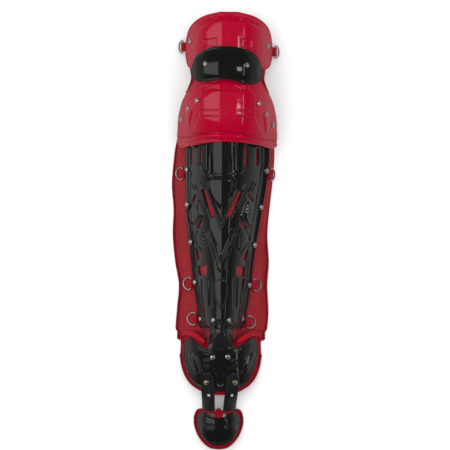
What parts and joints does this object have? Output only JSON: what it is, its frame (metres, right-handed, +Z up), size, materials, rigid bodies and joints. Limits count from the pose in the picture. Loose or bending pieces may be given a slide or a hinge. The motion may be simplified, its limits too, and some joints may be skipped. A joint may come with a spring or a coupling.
{
  "type": "catcher leg guard",
  "caption": "Baseball catcher's leg guard with red knee and thigh shells, a black ribbed shin plate with cut-through slots, mesh wings, D-rings, and ankle and toe guards.",
  "frame": {"origin": "middle of the underside of the whole guard, on the floor that it lies on", "axes": "+Z up, out of the hard front; +Y along the leg towards the thigh; +X to the right seen from above with the thigh end away"},
  "size_m": [0.173, 0.7204, 0.1148],
  "materials": {
    "red_shell": "glossy moulded",
    "black_shell": "glossy moulded",
    "red_pad": "smooth knit over foam",
    "red_mesh": "spacer mesh over foam",
    "black_strap": "semi-gloss",
    "red_webbing": "woven",
    "steel": "nickel plated",
    "brass": "pale antique"
  },
  "bodies": {
    "root": {"thigh_guard": "red_shell", "knee_cap": "red_shell", "upper_knee_cap": "black_shell", "shin_plate": "black_shell", "ankle_plate": "black_shell", "toe_plate": "black_shell", "upper_pad": "red_pad", "shin_pad": "red_mesh", "ankle_pad": "red_pad", "toe_pad": "red_pad", "link_strap": "black_strap", "toe_strap_left": "black_strap", "toe_strap_right": "black_strap", "rivet_shin_left_1": "steel", "rivet_shin_left_2": "steel", "rivet_shin_left_3": "steel", "rivet_shin_left_4": "steel", "rivet_shin_left_5": "steel", "rivet_shin_right_1": "steel", "rivet_shin_right_2": "steel", "rivet_shin_right_3": "steel", "rivet_shin_right_4": "steel", "rivet_shin_right_5": "steel", "rivet_shin_foot_1": "steel", "rivet_shin_foot_2": "steel", "rivet_knee_1": "steel", "rivet_knee_2": "steel", "rivet_knee_3": "steel", "rivet_knee_4": "steel", "rivet_knee_5": "steel", "rivet_knee_6": "steel", "rivet_thigh_1": "steel", "rivet_thigh_2": "steel", "rivet_cap_1": "steel", "rivet_cap_2": "steel", "rivet_ankle_1": "steel", "rivet_ankle_2": "steel", "ring_shin_left_1": "steel", "ring_shin_left_2": "steel", "ring_shin_left_3": "steel", "ring_shin_right_1": "steel", "ring_shin_right_2": "steel", "ring_shin_right_3": "steel", "ring_thigh_left": "steel", "ring_thigh_right": "steel", "rivet_strap_1": "brass", "rivet_strap_2": "brass", "tab_shin_left_1": "red_webbing", "tab_shin_left_2": "red_webbing", "tab_shin_left_3": "red_webbing", "tab_shin_right_1": "red_webbing", "tab_shin_right_2": "red_webbing", "tab_shin_right_3": "red_webbing", "tab_thigh_left": "red_webbing", "tab_thigh_right": "red_webbing"}
  },
  "joints": []
}
